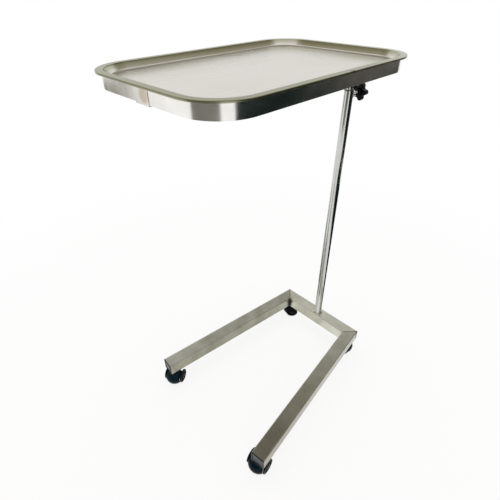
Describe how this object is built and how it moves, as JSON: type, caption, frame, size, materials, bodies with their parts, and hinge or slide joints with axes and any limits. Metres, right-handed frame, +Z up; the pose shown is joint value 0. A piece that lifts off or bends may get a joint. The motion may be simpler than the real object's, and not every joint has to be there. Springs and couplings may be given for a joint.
{
  "type": "mayo instrument stand",
  "caption": "Wheeled stand with a lift-out pressed steel tray on a sliding, turning post over an open square-tube base with twin-disc casters.",
  "frame": {"origin": "on the floor under the middle of the whole stand", "axes": "+Z up, +X towards the right leg, the open end of the base towards -Y"},
  "size_m": [0.4267, 0.589, 0.902],
  "materials": {
    "tray_steel": "pressed stainless steel, satin polish",
    "satin_steel": "stainless square tube, satin",
    "polished_steel": "stainless round tube, polished",
    "zinc_steel": "zinc-plated steel",
    "black_plastic": "moulded black nylon, slight sheen",
    "wheel_plastic": "moulded black nylon wheel",
    "nylon": "natural nylon"
  },
  "bodies": {
    "base": {"base_crossbar": "satin_steel", "leg_left": "satin_steel", "leg_right": "satin_steel", "leg_cap_left": "black_plastic", "leg_cap_right": "black_plastic", "mast_tube": "polished_steel", "mast_foot_weld": "satin_steel", "mast_bush": "black_plastic", "clamp_boss": "polished_steel", "front_left_socket": "zinc_steel", "rear_left_socket": "zinc_steel", "front_right_socket": "zinc_steel", "rear_right_socket": "zinc_steel"},
    "glide": {"post_glide": "nylon"},
    "post": {"post_tube": "polished_steel", "post_end_plug": "black_plastic", "tray_band": "tray_steel", "tray_spine": "tray_steel"},
    "tray": {"tray": "tray_steel"},
    "clamp_pad": {"clamp_pad": "nylon"},
    "clamp_knob": {"clamp_screw": "zinc_steel", "clamp_knob": "black_plastic"},
    "front_left_caster": {"front_left_stem": "zinc_steel", "front_left_hood": "black_plastic", "front_left_axle": "zinc_steel"},
    "front_left_wheel_1": {"front_left_wheel_1": "wheel_plastic"},
    "front_left_wheel_2": {"front_left_wheel_2": "wheel_plastic"},
    "rear_left_caster": {"rear_left_stem": "zinc_steel", "rear_left_hood": "black_plastic", "rear_left_axle": "zinc_steel"},
    "rear_left_wheel_1": {"rear_left_wheel_1": "wheel_plastic"},
    "rear_left_wheel_2": {"rear_left_wheel_2": "wheel_plastic"},
    "front_right_caster": {"front_right_stem": "zinc_steel", "front_right_hood": "black_plastic", "front_right_axle": "zinc_steel"},
    "front_right_wheel_1": {"front_right_wheel_1": "wheel_plastic"},
    "front_right_wheel_2": {"front_right_wheel_2": "wheel_plastic"},
    "rear_right_caster": {"rear_right_stem": "zinc_steel", "rear_right_hood": "black_plastic", "rear_right_axle": "zinc_steel"},
    "rear_right_wheel_1": {"rear_right_wheel_1": "wheel_plastic"},
    "rear_right_wheel_2": {"rear_right_wheel_2": "wheel_plastic"}
  },
  "joints": [
    {"name": "height_slide", "type": "slide", "parent": "base", "child": "glide", "axis": [0, 0, 1], "range_m": [0, 0.36]},
    {"name": "tray_turn", "type": "hinge", "parent": "glide", "child": "post", "pos_m": [0, 0.2395, 0.3], "axis": [0, 0, 1], "continuous": true},
    {"name": "tray_lift", "type": "slide", "parent": "post", "child": "tray", "axis": [0, 0, 1], "range_m": [0, 0.06]},
    {"name": "clamp_feed", "type": "slide", "parent": "base", "child": "clamp_pad", "axis": [0, 1, 0], "range_m": [0, 0.0025]},
    {"name": "knob_turn", "type": "hinge", "parent": "clamp_pad", "child": "clamp_knob", "pos_m": [0, 0.2805, 0.793], "axis": [0, 1, 0], "range_deg": [0, 720]},
    {"name": "front_left_swivel", "type": "hinge", "parent": "base", "child": "front_left_caster", "pos_m": [-0.18038, -0.23887, 0.048], "axis": [0, 0, 1], "continuous": true},
    {"name": "front_left_spin_1", "type": "hinge", "parent": "front_left_caster", "child": "front_left_wheel_1", "pos_m": [-0.18538, -0.23021, 0.02], "axis": [0.866, 0.5, 0], "continuous": true},
    {"name": "front_left_spin_2", "type": "hinge", "parent": "front_left_caster", "child": "front_left_wheel_2", "pos_m": [-0.18538, -0.23021, 0.02], "axis": [0.866, 0.5, 0], "continuous": true},
    {"name": "rear_left_swivel", "type": "hinge", "parent": "base", "child": "rear_left_caster", "pos_m": [-0.12505, 0.24026, 0.048], "axis": [0, 0, 1], "continuous": true},
    {"name": "rear_left_spin_1", "type": "hinge", "parent": "rear_left_caster", "child": "rear_left_wheel_1", "pos_m": [-0.11762, 0.24695, 0.02], "axis": [0.6691, -0.7431, 0], "continuous": true},
    {"name": "rear_left_spin_2", "type": "hinge", "parent": "rear_left_caster", "child": "rear_left_wheel_2", "pos_m": [-0.11762, 0.24695, 0.02], "axis": [0.6691, -0.7431, 0], "continuous": true},
    {"name": "front_right_swivel", "type": "hinge", "parent": "base", "child": "front_right_caster", "pos_m": [0.18038, -0.23887, 0.048], "axis": [0, 0, 1], "continuous": true},
    {"name": "front_right_spin_1", "type": "hinge", "parent": "front_right_caster", "child": "front_right_wheel_1", "pos_m": [0.17864, -0.22902, 0.02], "axis": [0.9848, 0.1736, 0], "continuous": true},
    {"name": "front_right_spin_2", "type": "hinge", "parent": "front_right_caster", "child": "front_right_wheel_2", "pos_m": [0.17864, -0.22902, 0.02], "axis": [0.9848, 0.1736, 0], "continuous": true},
    {"name": "rear_right_swivel", "type": "hinge", "parent": "base", "child": "rear_right_caster", "pos_m": [0.12505, 0.24026, 0.048], "axis": [0, 0, 1], "continuous": true},
    {"name": "rear_right_spin_1", "type": "hinge", "parent": "rear_right_caster", "child": "rear_right_wheel_1", "pos_m": [0.11591, 0.23619, 0.02], "axis": [-0.4067, 0.9135, 0], "continuous": true},
    {"name": "rear_right_spin_2", "type": "hinge", "parent": "rear_right_caster", "child": "rear_right_wheel_2", "pos_m": [0.11591, 0.23619, 0.02], "axis": [-0.4067, 0.9135, 0], "continuous": true}
  ],
  "couplings": [
    {"joint": "clamp_feed", "follows": "knob_turn", "m_per_rad": 0.00019894}
  ]
}
